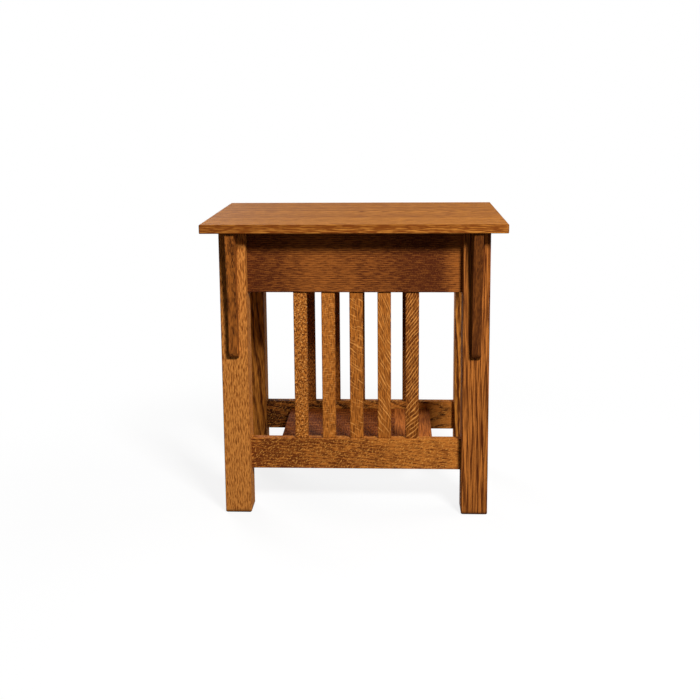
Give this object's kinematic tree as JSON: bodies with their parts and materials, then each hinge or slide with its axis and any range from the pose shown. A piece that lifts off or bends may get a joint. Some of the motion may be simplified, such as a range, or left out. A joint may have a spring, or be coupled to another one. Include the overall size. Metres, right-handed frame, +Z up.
{
  "type": "magazine table",
  "caption": "Mission-style oak side table with an overhanging top on bracketed square legs, and a slatted rack with a low shelf for magazines, open at both ends.",
  "frame": {"origin": "on the floor, at the middle of the footprint", "axes": "+X to the right along the top's long side, +Y to the back, +Z up"},
  "size_m": [0.602, 0.406, 0.61],
  "materials": {
    "oak_top": "satin",
    "oak_leg": "satin",
    "oak_apron": "satin",
    "oak_rail": "satin",
    "oak_slat": "satin",
    "oak_corbel": "satin",
    "oak_shelf": "satin",
    "oak_cleat": "matte",
    "beech_dowel": "matte",
    "steel": "satin"
  },
  "bodies": {
    "root": {"top_board_front": "oak_top", "top_board_middle": "oak_top", "top_board_back": "oak_top", "leg_front_left": "oak_leg", "leg_front_right": "oak_leg", "leg_back_left": "oak_leg", "leg_back_right": "oak_leg", "apron_front": "oak_apron", "apron_back": "oak_apron", "apron_left": "oak_apron", "apron_right": "oak_apron", "lower_rail_front": "oak_rail", "lower_rail_back": "oak_rail", "slat_front_1": "oak_slat", "slat_front_2": "oak_slat", "slat_front_3": "oak_slat", "slat_front_4": "oak_slat", "slat_front_5": "oak_slat", "slat_back_1": "oak_slat", "slat_back_2": "oak_slat", "slat_back_3": "oak_slat", "slat_back_4": "oak_slat", "slat_back_5": "oak_slat", "corbel_front_left": "oak_corbel", "corbel_front_right": "oak_corbel", "corbel_back_left": "oak_corbel", "corbel_back_right": "oak_corbel", "shelf_board_1": "oak_shelf", "shelf_board_2": "oak_shelf", "shelf_board_3": "oak_shelf", "shelf_board_4": "oak_shelf", "shelf_cleat_front": "oak_cleat", "shelf_cleat_back": "oak_cleat", "corbel_dowels": "beech_dowel", "top_clips": "steel", "top_clip_screws": "steel", "cleat_screws": "steel", "shelf_screws": "steel"}
  },
  "joints": []
}
